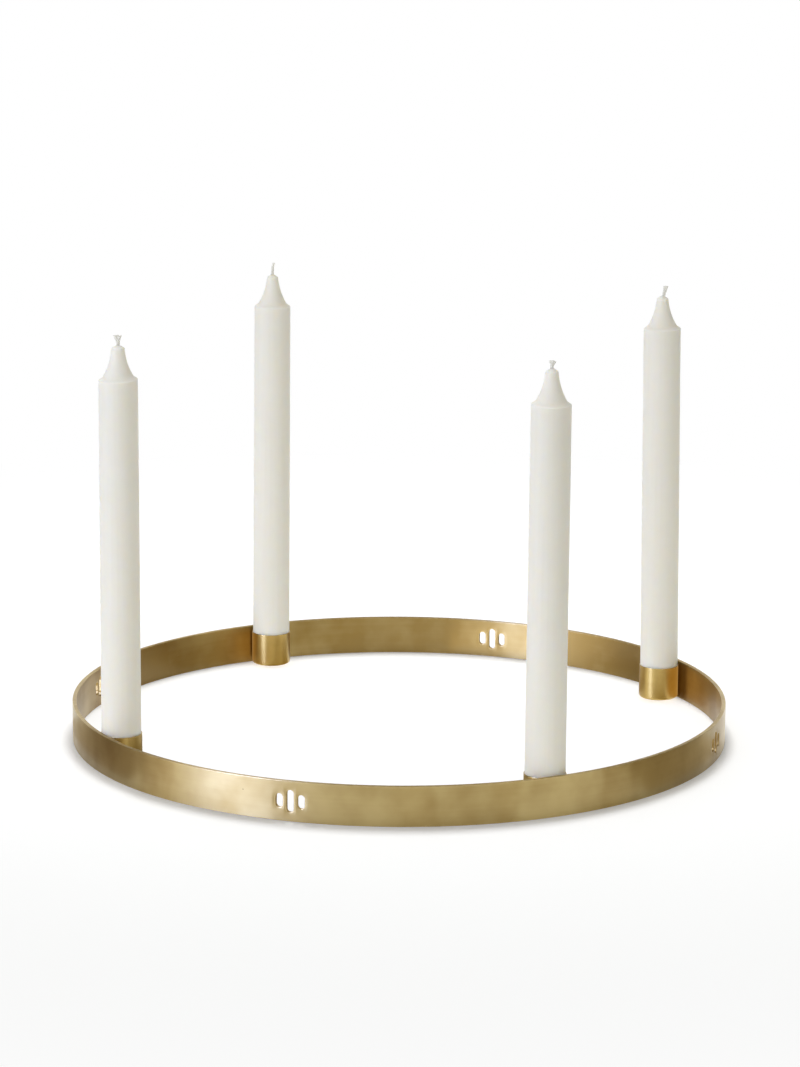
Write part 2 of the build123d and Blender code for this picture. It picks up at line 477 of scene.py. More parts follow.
# %% Cards on the table
CARD_LIFT = 0.6 * MM
OUTSIDE_BAND = OUTER_RADIUS + 6 * MM
INSIDE_BAND = INNER_RADIUS - 6 * MM
SLOT_VIEW = 14 * MM
TAN = rgb(0.48, 0.38, 0.22)
BROWN = rgb(0.38, 0.28, 0.15)
GOLDEN_TAN = rgb(0.56, 0.41, 0.18)
PALE = rgb(2.1, 2.0, 1.8)
BY_FRONT_CUPS = rgb(0.20, 0.145, 0.05)
BY_BACK_CUPS = rgb(0.45, 0.35, 0.16)
BEHIND_SLOTS = rgb(0.05, 0.036, 0.016)
table_cards = (
    ("tan_card_left", (-96, -55), OUTSIDE_BAND, 0.7, BROWN),
    ("tan_card_right", (49, 84), OUTSIDE_BAND, 0.7, TAN),
    ("tan_card_inside_left", (-149, -136), INSIDE_BAND, 0.09, GOLDEN_TAN),
    ("tan_card_inside_right", (122, 144), INSIDE_BAND, 0.09, TAN),
    ("pale_card_inside", (156, 171), INSIDE_BAND, 0.10, PALE),
    ("card_beside_front_left_cup", (-86, -38), 0.172, 0.10, BY_FRONT_CUPS),
    ("card_beside_front_right_cup", (5, 56), 0.172, 0.09, BY_FRONT_CUPS),
    ("card_beside_back_left_cup", (-178, -150), 0.166, 0.08, BY_BACK_CUPS, (0.5, 0.0)),
    ("card_beside_back_right_cup", (97, 113), 0.175, 0.15, BY_BACK_CUPS, (0.4, 0.0)),
    ("card_behind_front_slots", (-27, -11), INNER_RADIUS - SLOT_VIEW, 0.10, BEHIND_SLOTS),
    ("card_behind_back_slots", (152, 169), OUTER_RADIUS + SLOT_VIEW, 0.27, BEHIND_SLOTS),
)
for name, turns, near, far, colour, *soft in table_cards:
    screen(name, turns, (near, CARD_LIFT), (far, CARD_LIFT), colour, *soft)
print("cards on the table:", len(table_cards))

# %% [markdown]
# In the wedge between a cup and the band, metal mirrors metal many times over, and the light that is left
# is deep amber and brown. More light bounces could trace that, but this script leaves the render settings
# alone. So thin cards, which stand up to 3 mm inside the band, give the wedge those tones.

# %% Cards in the wedges
WEDGE_CARD_TOP = 21 * MM
AMBER = rgb(0.60, 0.37, 0.12)
DEEP_BROWN = rgb(0.23, 0.125, 0.033)
DEEPEST_BROWN = rgb(0.16, 0.075, 0.016)
wedge_cards = (
    ("amber_card_left", (-151, -143), 2.6 * MM, AMBER, (0.0, 1.0)),
    ("amber_card_right", (102, 115), 2.6 * MM, AMBER, (0.6, 0.0)),
    ("brown_card_right", (112.5, 115.6), 0.8 * MM, DEEP_BROWN, (0.6, 0.0)),
    ("brown_card_by_contact", (115.4, 116.3), 0.3 * MM, DEEPEST_BROWN),
)
for name, turns, gap, colour, *soft in wedge_cards:
    distance = INNER_RADIUS - gap
    screen(name, turns, (distance, CARD_LIFT), (distance, WEDGE_CARD_TOP), colour, *soft)
print("cards in the wedges:", len(wedge_cards))

# %% [markdown]
# ## Lamps
#
# Lamps light what isn't metal: wax, cotton and the table. All are soft rectangles, and metal doesn't
# mirror them. A cool light from the left shapes the candles against the warmer room. One from above and a
# small near one brighten their crowns. The table has a lamp of its own, above and behind the hoop, so its
# white can be set without changing the candles. Light linking keeps each lamp to the table or off it.

# %% Soft lights
COOL_LIGHT = (0.75, 0.80, 1.0)
WARM_LIGHT = (1.0, 0.97, 0.83)


def soft_light(name, place, aim, size, power, colour, table):
    """A rectangular lamp turned to its aim. It lights the table alone, or all but the table."""
    lamp = bpy.data.lights.new(name, "AREA")
    lamp.shape = "RECTANGLE"
    lamp.size, lamp.size_y = size
    lamp.energy = power
    lamp.color = colour
    made = bpy.data.objects.new(name, lamp)
    scene.collection.objects.link(made)
    made.visible_glossy = False
    made.location = place
    made.rotation_euler = (aim - place).to_track_quat("-Z", "Y").to_euler()
    linked = bpy.data.collections.new(f"{name}_table")
    linked.objects.link(table_top)
    linked.collection_objects[0].light_linking.link_state = table
    made.light_linking.receiver_collection = linked
    print(f"{name}: {power} W over {size[0]} by {size[1]} m")
    return made


hoop_middle = Vector((0, 0, 0))
candle_middle = Vector((0, 0, 0.12))
crown_middle = Vector((0, 0, 0.25))
side_place = studio_place(-48, 1.5, 0.78)
top_place = studio_place(-158, 0.7, 1.66)
crown_place = studio_place(25, 0.6, 0.7)
table_place = studio_place(180, 0.6, 1.66)
soft_light("side_light", side_place, candle_middle, (1.1, 0.8), 12.5, COOL_LIGHT, "EXCLUDE")
soft_light("top_light", top_place, hoop_middle, (1.5, 1.5), 5.0, COOL_LIGHT, "EXCLUDE")
soft_light("crown_light", crown_place, crown_middle, (0.4, 0.4), 0.55, COOL_LIGHT, "EXCLUDE")
table_light = soft_light("table_light", table_place, hoop_middle, (0.55, 0.9), 25.5, WARM_LIGHT, "INCLUDE")

# %% [markdown]
# ## Finishes that several materials share
#
# Brushed metal is made by a belt that runs along the strip, so its lines follow the hoop. A photograph of
# such lines could be wrapped on, but it would repeat. A noise stretched along the hoop doesn't: its first
# axis is the distance round the hoop, and the second goes across. Height and distance from the axis are
# added for the second axis, so the lines carry on over the rim instead of smearing there. The group works
# for the cups too, which are brushed round their own axis.

# %% Brush marks
BROAD_ALONG = 0.45
BROAD_ACROSS = 0.12


def new_group(name, inputs, outputs):
    """A shader node group with float inputs and outputs, its bench and its two ends."""
    group = bpy.data.node_groups.new(name, "ShaderNodeTree")
    for label, value in inputs.items():
        socket = group.interface.new_socket(label, in_out="INPUT", socket_type="NodeSocketFloat")
        socket.default_value = value
    for label in outputs:
        group.interface.new_socket(label, in_out="OUTPUT", socket_type="NodeSocketFloat")
    bench = NodeBench(group)
    entry = group.nodes.new("NodeGroupInput")
    leave = group.nodes.new("NodeGroupOutput")
    print("group:", name)
    return group, bench, entry.outputs, leave.inputs


def strip_coordinates(bench, radius):
    """Distance round the axis and distance across, as two sockets."""
    at = bench.add("SeparateXYZ", {"Vector": bench.here()}).outputs
    angle = bench.math("ARCTAN2", at["Y"], at["X"])
    squares = bench.math("ADD", bench.math("POWER", at["X"], 2.0), bench.math("POWER", at["Y"], 2.0))
    across = bench.math("ADD", at["Z"], bench.math("SQRT", squares))
    return bench.math("MULTIPLY", angle, radius), across


brush_marks, bench, given, made = new_group(
    "brush_marks",
    {"Radius": 0.186, "Line Length": 0.04, "Line Width": 0.0003, "Seed": 0.0},
    ("Fine", "Broad"),
)
around, across = strip_coordinates(bench, given["Radius"])
line_along = bench.math("DIVIDE", around, given["Line Length"])
line_across = bench.math("DIVIDE", across, given["Line Width"])
line_place = bench.vector(line_along, line_across, given["Seed"])
broad_place = bench.stretch(line_place, BROAD_ALONG, BROAD_ACROSS, 1.0)
bench.wire(bench.noise(line_place, 1.0, detail=3.0, roughness=0.6), made["Fine"])
bench.wire(bench.noise(broad_place, 1.0), made["Broad"])

# %% [markdown]
# Brass that is polished by hand and then handled is never even. Soft clouds, a few centimetres across,
# differ in sheen and in how far the metal has browned. A polisher works stretch by stretch, which leaves
# upright sections of slightly different tone. And the strip itself swells a little, which bends the edges
# of what it mirrors. All come from noise in the object's own space, so they don't repeat.

# %% Polish clouds
PATCHES_PER_CLOUD = 3.1
SECTIONS_PER_CLOUD = 1.1
SWELLS_PER_CLOUD = 0.8
SECTION_CLIMB = 0.2
polish_clouds, bench, given, made = new_group(
    "polish_clouds",
    {"Size": 0.03, "Seed": 0.0},
    ("Cloud", "Patch", "Section", "Swell"),
)
shift = bench.vector(given["Seed"], given["Seed"], given["Seed"])
here = bench.add("VectorMath", {0: bench.here(), 1: shift}, operation="ADD").outputs["Vector"]
per_size = bench.math("DIVIDE", 1.0, given["Size"])
cloud = bench.noise(here, per_size, detail=3.0, roughness=0.55)
patch = bench.noise(here, bench.math("MULTIPLY", per_size, PATCHES_PER_CLOUD))
upright = bench.stretch(here, 1.0, 1.0, SECTION_CLIMB)
section = bench.noise(upright, bench.math("MULTIPLY", per_size, SECTIONS_PER_CLOUD), detail=1.0)
swell = bench.noise(here, bench.math("MULTIPLY", per_size, SWELLS_PER_CLOUD), detail=0.5)
bench.wire(bench.ease(cloud, 0.3, 0.7), made["Cloud"])
bench.wire(bench.ease(patch, 0.35, 0.68), made["Patch"])
bench.wire(bench.ease(section, 0.40, 0.60), made["Section"])
bench.wire(swell, made["Swell"])

# %% [markdown]
# Wiping and handling leave short scratches, which run nearly along the strip, and there are a few
# pinholes. Scratches could be modelled one by one, but nobody would see the difference. Here they are the
# highest crests of a noise that is stretched very far: thin, straight and rare. Two stretched noises at
# different slants are enough to look random. The pinholes are the middles of the cells of a Voronoi
# texture.

# %% Handling marks
SCRATCH_LENGTH = 9 * MM
SCRATCH_WIDTH = 0.24 * MM
SCRATCH_SLANTS = (0.05, -0.08)
RARE_CREST = 0.86
CREST_DROP = 0.16
CREST_EASE = 0.06
PINHOLE_SPACING = 16 * MM
handling_marks, bench, given, made = new_group(
    "handling_marks",
    {"Radius": 0.186, "Amount": 0.5, "Seed": 0.0},
    ("Scratch", "Pinhole"),
)
around, across = strip_coordinates(bench, given["Radius"])
flat = bench.vector(around, across, given["Seed"])
limit = bench.total(RARE_CREST, (given["Amount"], -CREST_DROP))
crests = []
for slant in SCRATCH_SLANTS:
    slanted = bench.add("VectorRotate", {"Vector": flat, "Angle": slant}, rotation_type="Z_AXIS").outputs[0]
    scratch_place = bench.stretch(slanted, 1 / SCRATCH_LENGTH, 1 / SCRATCH_WIDTH, 1.0)
    stretched = bench.noise(scratch_place, 1.0, detail=1.0)
    crests.append(bench.ease(bench.math("SUBTRACT", stretched, limit), 0.0, CREST_EASE))
bench.wire(bench.math("MAXIMUM", crests[0], crests[1]), made["Scratch"])
cells = bench.add("TexVoronoi", {"Vector": flat, "Scale": 1 / PINHOLE_SPACING}).outputs["Distance"]
bench.wire(bench.ease(cells, 0.018, 0.032, 1.0, 0.0), made["Pinhole"])

# %% [markdown]
# Edges are where a cloth rubs hardest, so they are brighter and smoother than the faces. A bevel shader
# could find them, but how near a point is to an edge is known best when the mesh is made. So each brass
# mesh carries it as a point attribute called "edge", and the group only breaks that border up, so that
# the wear isn't a drawn line.

# %% Edge wear
CRUMBS_PER_METRE = 420.0
edge_wear, bench, given, made = new_group("edge_wear", {"Breakup": 0.6}, ("Wear",))
crumbs = bench.noise(bench.here(), CRUMBS_PER_METRE)
loss = bench.math("MULTIPLY", bench.math("SUBTRACT", 1.0, crumbs), given["Breakup"])
bench.wire(bench.ease(bench.math("SUBTRACT", bench.attribute("edge"), loss), 0.0, 0.6), made["Wear"])

# %% [markdown]
# ## Brass
#
# Brass is a metal, so Metallic stays at 1 and the base colour is the tint of its mirror image. Brushing
# makes it reflect along a line: across the brush marks the image is smeared far, along them only a
# little. Principled calls that Anisotropic. Its tangent is taken round the axis and then turned a
# quarter, so the image is smeared up and down and the light stands as upright stripes on the band and on
# the cups. Clouds, sections and lines brown the metal. The inside of the band is browner still, which is
# painted shade for the dimmer light inside the hoop. Rubbed edges are paler. The walls of the slots get a
# brighter amber gold, partly that of fresh cut brass and partly painted amber light that bounces between
# the walls. A thin lacquer gives the faces a soft sheen. It is left off wherever the metal is rubbed, is
# cut or faces up or down.

# %% Brass function
LACQUER = 0.45
LACQUER_ROUGHNESS = 0.32
QUARTER_TURN = 0.25
LEAST_BROWN = -0.32
EDGE_RUB = 0.6
SCRATCH_RUB = 0.35
SCRATCH_DEPTH = 0.004 * MM
PINHOLE_DEPTH = 0.06 * MM
PINHOLE_SHADE = 0.8
PINHOLE_BROWN = rgb(0.10, 0.06, 0.018)


@dataclass
class BrassFinish:
    """What differs between two brass pieces. Colours are linear, sizes in metres."""

    radius: float
    fresh: tuple
    browned: tuple
    worn: tuple
    # cut: the slot walls' colour, partly fresh cut brass and partly painted amber bounce light
    cut: tuple
    roughness: float
    anisotropy: float
    cloud_size: float
    swell_height: float
    line_length: float
    line_width: float
    line_depth: float
    scratches: float


def use_group(bench, group, **values):
    """A node group placed in a material, with its own values."""
    node = bench.add("Group", node_tree=group)
    for label, value in values.items():
        bench.wire(value, node.inputs[label.replace("_", " ").title()])
    return node.outputs


def brass_material(name, finish, seed):
    """Brushed brass with polish clouds, worn edges, handling marks and a thin lacquer."""
    material, bench = new_material(name)
    clouds = use_group(bench, polish_clouds, size=finish.cloud_size, seed=seed)
    lines = use_group(
        bench,
        brush_marks,
        radius=finish.radius,
        line_length=finish.line_length,
        line_width=finish.line_width,
        seed=seed,
    )
    marks = use_group(bench, handling_marks, radius=finish.radius, amount=finish.scratches, seed=seed)
    wear = use_group(bench, edge_wear)["Wear"]
    inside = bench.attribute("inside")
    recess = bench.attribute("recess")
    browning = bench.total(
        LEAST_BROWN,
        (clouds["Cloud"], 0.5),
        (clouds["Patch"], 0.12),
        (clouds["Section"], 0.4),
        (lines["Broad"], 0.3),
        # the inside share is painted shade: it browns the inner face for the dimmer light inside the hoop
        (inside, 0.5),
    )
    scratched = bench.math("MULTIPLY", marks["Scratch"], SCRATCH_RUB)
    rubbed = bench.math("MAXIMUM", bench.math("MULTIPLY", wear, EDGE_RUB), scratched)
    colour = bench.mix(browning, finish.fresh, finish.browned)
    colour = bench.mix(rubbed, colour, finish.worn)
    # slot walls: partly fresh cut brass, partly painted amber light bouncing between the walls
    colour = bench.mix(recess, colour, finish.cut)
    colour = bench.mix(bench.math("MULTIPLY", marks["Pinhole"], PINHOLE_SHADE), colour, PINHOLE_BROWN)
    roughness = bench.total(
        finish.roughness - 0.085,
        (clouds["Cloud"], 0.07),
        (lines["Fine"], 0.10),
        (wear, -0.07),
    )
    height = bench.total(
        0.0,
        (clouds["Swell"], finish.swell_height),
        (lines["Fine"], finish.line_depth),
        (lines["Broad"], finish.line_depth * 2),
        (marks["Scratch"], -SCRATCH_DEPTH),
        (marks["Pinhole"], -PINHOLE_DEPTH),
    )
    facing = bench.add("SeparateXYZ", {"Vector": bench.add("NewGeometry").outputs["Normal"]}).outputs["Z"]
    bare = bench.math("MAXIMUM", bench.math("MAXIMUM", recess, wear), bench.math("ABSOLUTE", facing))
    tangent = bench.add("Tangent", direction_type="RADIAL", axis="Z")
    brass = bench.add(
        "BsdfPrincipled",
        {
            "Base Color": colour,
            "Metallic": 1.0,
            "Roughness": roughness,
            "Anisotropic": finish.anisotropy,
            "Anisotropic Rotation": QUARTER_TURN,
            "Coat Weight": bench.total(LACQUER, (bare, -LACQUER)),
            "Coat Roughness": LACQUER_ROUGHNESS,
            "Tangent": tangent.outputs["Tangent"],
            "Normal": bench.bump(height),
        },
    )
    bench.show(brass)
    return material


print("a brass finish has", len(BrassFinish.__dataclass_fields__), "values")

# %% [markdown]
# The band was brushed with a belt and then handled, so it is satin, clouded and scratched. The cups were
# polished on a wheel before they were soldered in: they are smoother, deeper in tone and nearly free of
# marks.

# %% Band and cup brass
# cut brass for the slot walls, made brighter and more amber as painted bounce light
CUT_AND_BOUNCE_BRASS = rgb(0.70, 0.46, 0.13)
band_finish = BrassFinish(
    radius=MIDDLE_RADIUS,
    fresh=rgb(0.525, 0.40, 0.164),
    browned=rgb(0.35, 0.227, 0.058),
    worn=rgb(0.70, 0.56, 0.30),
    cut=CUT_AND_BOUNCE_BRASS,
    roughness=0.44,
    anisotropy=0.92,
    cloud_size=34 * MM,
    swell_height=0.16 * MM,
    line_length=42 * MM,
    line_width=0.30 * MM,
    line_depth=0.0012 * MM,
    scratches=0.5,
)
cup_finish = BrassFinish(
    radius=places[0].cup_radius,
    fresh=rgb(0.575, 0.41, 0.127),
    browned=rgb(0.46, 0.305, 0.078),
    worn=rgb(0.68, 0.52, 0.24),
    cut=CUT_AND_BOUNCE_BRASS,
    roughness=0.33,
    anisotropy=0.88,
    cloud_size=12 * MM,
    swell_height=0.015 * MM,
    line_length=14 * MM,
    line_width=0.22 * MM,
    line_depth=0.0006 * MM,
    scratches=0.1,
)
band_brass = brass_material("satin_band_brass", band_finish, seed=3.0)
cup_brass = brass_material("polished_cup_brass", cup_finish, seed=11.0)
print("brass:", band_brass.name, "and", cup_brass.name)

# %% [markdown]
# The solder between a cup and the band was never brushed. It set with a dull, slightly grainy skin and
# heat has browned it, so it has clouds and grain but neither lines nor a smeared mirror image. Its CAD
# shape is right as it is and hardly shows, so the CAD nodes stay and only get this material.

# %% Solder
GRAINS_PER_METRE = 5200.0
GRAIN_HEIGHT = 0.04 * MM
solder_skin, bench = new_material("dull_solder")
clouds = use_group(bench, polish_clouds, size=3 * MM, seed=5.0)
grain = bench.noise(bench.here(), GRAINS_PER_METRE, detail=3.0)
solder = bench.add(
    "BsdfPrincipled",
    {
        "Base Color": bench.mix(clouds["Cloud"], rgb(0.46, 0.37, 0.20), rgb(0.30, 0.20, 0.085)),
        "Metallic": 1.0,
        "Roughness": bench.total(0.42, (grain, 0.2)),
        "Normal": bench.bump(grain, 0.6, GRAIN_HEIGHT),
    },
)
bench.show(solder)
for place in places:
    node = frame["nodes"][f"cup_solder_{place.number}"]
    node.data.materials.clear()
    node.data.materials.append(solder_skin)
print("solder:", solder_skin.name, "on", len(places), "nodes")

# %% [markdown]
# ## Wax and cotton
#
# Light goes a few millimetres into wax before it comes out again, so candles have soft shadows and a warm
# tone on the side away from the light. Glass with a milky volume could do that too, but slowly;
# Principled's subsurface does it in one socket. Cooling leaves wax slightly mottled, and drawing it out
# of its mould leaves faint upright streaks. Both are slight: a candle that shows its texture from a step
# away looks like stone.

# %% Wax
STREAKS_ALONG = 14.0
WAX_GRAINS_PER_METRE = 2600.0
MOTTLE_HEIGHT = 0.008 * MM
STREAK_HEIGHT = 0.012 * MM
WAX_GRAIN_HEIGHT = 0.003 * MM
LIGHT_DEPTH = 5.5 * MM
wax_mottling, bench, given, made = new_group(
    "wax_mottling",
    {"Size": 0.008, "Streak Width": 0.0016},
    ("Mottle", "Streak", "Grain"),
)
mottle = bench.noise(bench.here(), bench.math("DIVIDE", 1.0, given["Size"]), detail=3.0, roughness=0.6)
per_streak = bench.math("DIVIDE", 1.0, given["Streak Width"])
drawn = bench.stretch(bench.here(), per_streak, per_streak, STREAKS_ALONG)
bench.wire(bench.ease(mottle, 0.3, 0.7), made["Mottle"])
bench.wire(bench.noise(drawn, 1.0), made["Streak"])
bench.wire(bench.noise(bench.here(), WAX_GRAINS_PER_METRE), made["Grain"])

candle_wax, bench = new_material("white_wax")
skin = use_group(bench, wax_mottling)
tone = bench.total(0.0, (skin["Mottle"], 0.12), (skin["Streak"], 0.6))
height = bench.total(
    0.0,
    (skin["Mottle"], MOTTLE_HEIGHT),
    (skin["Streak"], STREAK_HEIGHT),
    (skin["Grain"], WAX_GRAIN_HEIGHT),
)
wax = bench.add(
    "BsdfPrincipled",
    {
        "Base Color": bench.mix(tone, rgb(0.87, 0.851, 0.786), rgb(0.825, 0.796, 0.711)),
        "Roughness": bench.total(0.50, (skin["Mottle"], 0.10)),
        "IOR": 1.44,
        "Specular IOR Level": 0.12,
        "Subsurface Weight": 1.0,
        "Subsurface Radius": (1.0, 0.88, 0.66),
        "Subsurface Scale": LIGHT_DEPTH,
        "Normal": bench.bump(height),
    },
)
bench.show(wax)
print("wax:", candle_wax.name)

# %% [markdown]
# The wick is cotton that has soaked up wax: an off-white yarn whose fibres run along it, paler and
# shinier where there is more wax. Hair could be grown on it, but the wax has laid nearly all fibres flat,
# so a noise stretched along the wick is enough. A little subsurface softens its fine grooves.

# %% Cotton
FIBRES_ACROSS = 9000.0
FIBRES_ALONG = 1500.0
SOAKED_SPOTS_PER_METRE = 900.0
FIBRE_HEIGHT = 0.03 * MM
wick_cotton, bench = new_material("waxed_cotton")
fibre = bench.noise(bench.stretch(bench.here(), FIBRES_ACROSS, FIBRES_ACROSS, FIBRES_ALONG), 1.0)
soaked = bench.ease(bench.noise(bench.here(), SOAKED_SPOTS_PER_METRE, detail=1.0), 0.35, 0.65)
pale = bench.total(0.0, (fibre, 0.6), (soaked, 0.4))
cotton = bench.add(
    "BsdfPrincipled",
    {
        "Base Color": bench.mix(pale, rgb(0.75, 0.735, 0.665), rgb(0.86, 0.845, 0.785)),
        "Roughness": bench.total(0.72, (soaked, -0.18)),
        "Subsurface Weight": 0.6,
        "Subsurface Radius": (1.0, 1.0, 1.0),
        "Subsurface Scale": 0.8 * MM,
        "Specular IOR Level": 0.1,
        "Normal": bench.bump(fibre, 0.5, FIBRE_HEIGHT),
    },
)
bench.show(cotton)
print("cotton:", wick_cotton.name)

# %% [markdown]
# ## The hoop
#
# The CAD hoop is exact but faceted, and a brushed band shows every facet. A boolean cut would leave long
# thin faces round the slots. So the band is drawn as a patchwork of grids: plain strips between the
# groups of slots, and round each slot a cell whose grid runs from the slot's outline out to a rectangle.
# The patches share their border points, and merging those makes one closed mesh. Real slots are punched,
# which draws the metal in a little round each one, and then polished, which rounds their edges and leaves
# them narrowest half way through the wall. Those small shapes are what makes light and dark catch beside
# a slot.

# %% Sizes of the band's patches
EDGE_EASE = 0.38 * MM
SLOT_EASE_WIDE = 0.22 * MM
SLOT_EASE_DEEP = 0.28 * MM
SLOT_WAIST = 0.14 * MM
EASE_STEPS = 5
DRAW_IN_DEPTH = 0.13 * MM
DRAW_IN_REACH = 1.2 * MM
FACE_ROWS = 16
CELL_COLUMNS = 8
CELL_STEPS = (FACE_ROWS + CELL_COLUMNS) // 2
CELL_RINGS = (0.0, 0.15, 0.4, 0.7, 1.0)
STRIP_STEP = 2.0 * MM
FIRST_STEPS = np.array([0.35, 0.8, 1.4, 2.2, 3.2]) * MM
FACE_HEIGHT = BAND_HEIGHT - 2 * EDGE_EASE
group_edge = 1.5 * SLOT_PITCH
free_arc = QUARTER - 2 * group_edge
plain_steps = round((free_arc - 2 * FIRST_STEPS[-1]) / STRIP_STEP)
plain_arcs = np.linspace(FIRST_STEPS[-1], free_arc - FIRST_STEPS[-1], plain_steps + 1)
strip_arcs = group_edge + np.concatenate(
    [[0.0], FIRST_STEPS[:-1], plain_arcs, free_arc - FIRST_STEPS[-2::-1], [free_arc]]
)
cell_arcs = np.linspace(-group_edge, group_edge, 3 * CELL_COLUMNS + 1)
face_heights = np.linspace(EDGE_EASE, BAND_HEIGHT - EDGE_EASE, FACE_ROWS + 1)
print("columns in a quarter of the band:", len(strip_arcs) + len(cell_arcs) - 2)


# %% Shape of the faces
def slot_clearance(arc, height):
    """Distance from the nearest slot's outline, for arrays of places on the band."""
    arc_in_group = (arc + QUARTER / 2) % QUARTER - QUARTER / 2
    from_middle = np.abs(height - BAND_HEIGHT / 2)
    nearest = np.full(np.shape(arc), np.inf)
    for offset, length in SLOTS:
        past_straight = np.maximum(from_middle - (length - SLOT_WIDTH) / 2, 0)
        distance = np.hypot(arc_in_group - offset, past_straight) - SLOT_WIDTH / 2
        nearest = np.minimum(nearest, distance)
    return nearest


def draw_in(arc, height):
    """How far the metal is drawn in beside the slots."""
    return DRAW_IN_DEPTH * np.exp(-((slot_clearance(arc, height) / DRAW_IN_REACH) ** 2))


def band_points(arc, height, radius):
    """Points of the band from the distance round it, the height and the distance from the axis."""
    angle = arc / MIDDLE_RADIUS
    height = np.broadcast_to(height, np.shape(angle))
    return np.stack([radius * np.cos(angle), radius * np.sin(angle), height], axis=-1)


def face_points(arc, height, outside):
    """Points on the outer or the inner face, drawn in towards the middle of the wall."""
    drawn = draw_in(arc, height)
    return band_points(arc, height, OUTER_RADIUS - drawn if outside else INNER_RADIUS + drawn)


print(f"drawn in half way between two slots: {draw_in(SLOT_PITCH / 2, BAND_HEIGHT / 2) / MM:.2f} mm")


# %% Outlines of a slot and its cell
def round_the_middle(first_quarter):
    """A closed outline from its first quarter, which runs from the right side's middle up to the top."""
    first = np.array(first_quarter)
    second = first[::-1] * (-1, 1)
    return np.concatenate([first[:-1], second[:-1], -first[:-1], -second[:-1], first[:1]])


def slot_outline(length, grow):
    """An upright slot's outline, moved outwards by grow."""
    half_width = SLOT_WIDTH / 2
    straight = length / 2 - half_width
    lengths = np.linspace(0, straight + half_width * math.pi / 2, CELL_STEPS + 1)
    turns = np.maximum(lengths - straight, 0) / half_width
    across = (half_width + grow) * np.cos(turns)
    up = np.minimum(lengths, straight) + (half_width + grow) * np.sin(turns)
    return round_the_middle(np.column_stack([across, up]))


def cell_outline():
    """The rectangle round a slot, with the points that its neighbours have."""
    side = [(SLOT_PITCH / 2, up) for up in np.linspace(0, FACE_HEIGHT / 2, FACE_ROWS // 2 + 1)]
    top = [(across, FACE_HEIGHT / 2) for across in np.linspace(SLOT_PITCH / 2, 0, CELL_COLUMNS // 2 + 1)]
    return round_the_middle(side + top[1:])


print("points round a slot:", len(cell_outline()) - 1)

# %% [markdown]
# Three kinds of patches make up the band: plain stretches, rims and slots. Each is a grid of points, so
# one small class can take them all, merge their borders and count the edges that are still open. A closed
# mesh has none.

# %% Patches
MERGE_DISTANCE = 0.001 * MM


class Patchwork:
    """Grids of points that become one mesh once their shared borders are merged."""

    def __init__(self):
        self.mesh = bmesh.new()

    def grid(self, points):
        """Adds rows and columns of points as four-sided faces."""
        rows = [[self.mesh.verts.new(point) for point in row] for row in points]
        for low, high in zip(rows, rows[1:]):
            for corner in range(len(low) - 1):
                self.mesh.faces.new((low[corner], low[corner + 1], high[corner + 1], high[corner]))

    def finish(self, name):
        """Merges the borders, turns all faces outwards and returns the mesh."""
        bmesh.ops.remove_doubles(self.mesh, verts=self.mesh.verts, dist=MERGE_DISTANCE)
        bmesh.ops.recalc_face_normals(self.mesh, faces=self.mesh.faces)
        open_edges = sum(not edge.is_manifold for edge in self.mesh.edges)
        made = bpy.data.meshes.new(name)
        self.mesh.to_mesh(made)
        self.mesh.free()
        made.shade_smooth()
        print(f"{name}: {open_edges} open edges")
        return made


def strip_patches(patchwork, start):
    """The plain stretch after the group of slots at start, on both faces."""
    arc, height = np.meshgrid(start + strip_arcs, face_heights)
    for outside in (True, False):
        patchwork.grid(face_points(arc, height, outside))


def rim_patches(patchwork, start):
    """Both rims over one quarter: an eased corner, the flat edge and another eased corner."""
    arcs = start + np.concatenate([cell_arcs, strip_arcs[1:]])
    turns = np.linspace(0, math.pi / 2, EASE_STEPS + 1)
    rise = EDGE_EASE * np.sin(turns)
    retreat = EDGE_EASE * (1 - np.cos(turns))
    radii = np.concatenate([OUTER_RADIUS - retreat, (INNER_RADIUS + retreat)[::-1]])
    rises = np.concatenate([rise, rise[::-1]])
    for corner, way in ((BAND_HEIGHT - EDGE_EASE, 1), (EDGE_EASE, -1)):
        heights = corner + way * rises
        rows = []
        for radius, height, lift in zip(radii, heights, rises):
            drawn = draw_in(arcs, np.full_like(arcs, corner)) * (lift == 0)
            inwards = -drawn if radius > MIDDLE_RADIUS else drawn
            rows.append(band_points(arcs, height, radius + inwards))
        patchwork.grid(rows)


def slot_patches(patchwork, centre, length):
    """One slot: its cell on both faces, and the eased tunnel between them."""
    outline = slot_outline(length, SLOT_EASE_WIDE)
    rings = [outline * (1 - share) + cell_outline() * share for share in CELL_RINGS]
    middle_height = BAND_HEIGHT / 2
    for outside in (True, False):
        rows = [face_points(centre + ring[:, 0], middle_height + ring[:, 1], outside) for ring in rings]
        patchwork.grid(rows)
    edge_drop = draw_in(centre + outline[:, 0], middle_height + outline[:, 1])
    tunnel = []
    for turn in np.linspace(0, math.pi / 2, EASE_STEPS + 1):
        ring = slot_outline(length, (SLOT_EASE_WIDE + SLOT_WAIST) * (1 - math.sin(turn)) - SLOT_WAIST)
        tunnel.append((ring, edge_drop + SLOT_EASE_DEEP * (1 - math.cos(turn))))
    levels = [(ring, OUTER_RADIUS - depth) for ring, depth in tunnel]
    levels += [(ring, INNER_RADIUS + depth) for ring, depth in reversed(tunnel)]
    patchwork.grid(
        [band_points(centre + ring[:, 0], middle_height + ring[:, 1], radius) for ring, radius in levels]
    )


print("points across a plain stretch:", len(strip_arcs), "by", len(face_heights))

# %% [markdown]
# Four quarters of patches close the hoop. It is also the only piece that shades the table's lamp, so the
# candles leave no stripes on the white table.


